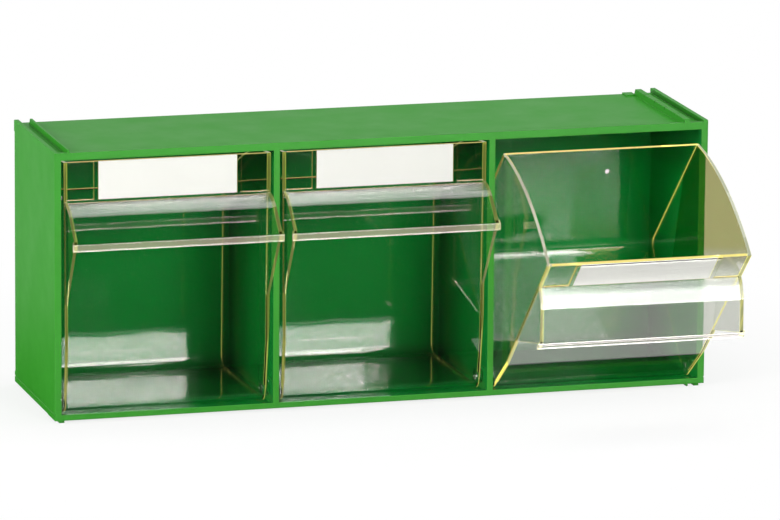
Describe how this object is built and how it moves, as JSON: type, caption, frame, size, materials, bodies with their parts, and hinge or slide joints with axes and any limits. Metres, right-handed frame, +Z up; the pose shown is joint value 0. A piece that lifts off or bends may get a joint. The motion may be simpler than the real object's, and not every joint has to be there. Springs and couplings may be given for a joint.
{
  "type": "tilt bin storage unit",
  "caption": "Wide low moulded housing with clear plastic bins side by side that tip forward on pins, each with a hooded pull and a label pocket.",
  "frame": {"origin": "middle of the housing's flat underside, at half the housing's depth; the two tongues and the guide rib reach 2.4 mm below it", "axes": "+X to the right as seen from the front, +Y to the back of the housing, +Z up"},
  "size_m": [0.6, 0.3087, 0.2454],
  "materials": {
    "green_moulding": "injection moulded, satin gloss",
    "clear_moulding": "clear, polished, faintly yellow at the edges",
    "label_card": "plain white card"
  },
  "bodies": {
    "housing": {"housing": "green_moulding"},
    "left_bin": {"bin_left": "clear_moulding", "label_card_left": "label_card"},
    "centre_bin": {"bin_centre": "clear_moulding", "label_card_centre": "label_card"},
    "right_bin": {"bin_right": "clear_moulding", "label_card_right": "label_card"}
  },
  "joints": [
    {"name": "left_bin_tilt", "type": "hinge", "parent": "housing", "child": "left_bin", "pos_m": [-0.1978, -0.06, 0.015], "axis": [1, 0, 0], "range_deg": [0, 47]},
    {"name": "centre_bin_tilt", "type": "hinge", "parent": "housing", "child": "centre_bin", "pos_m": [0, -0.06, 0.015], "axis": [1, 0, 0], "range_deg": [0, 47]},
    {"name": "right_bin_tilt", "type": "hinge", "parent": "housing", "child": "right_bin", "pos_m": [0.1978, -0.06, 0.015], "axis": [1, 0, 0], "range_deg": [-47, 0]}
  ]
}
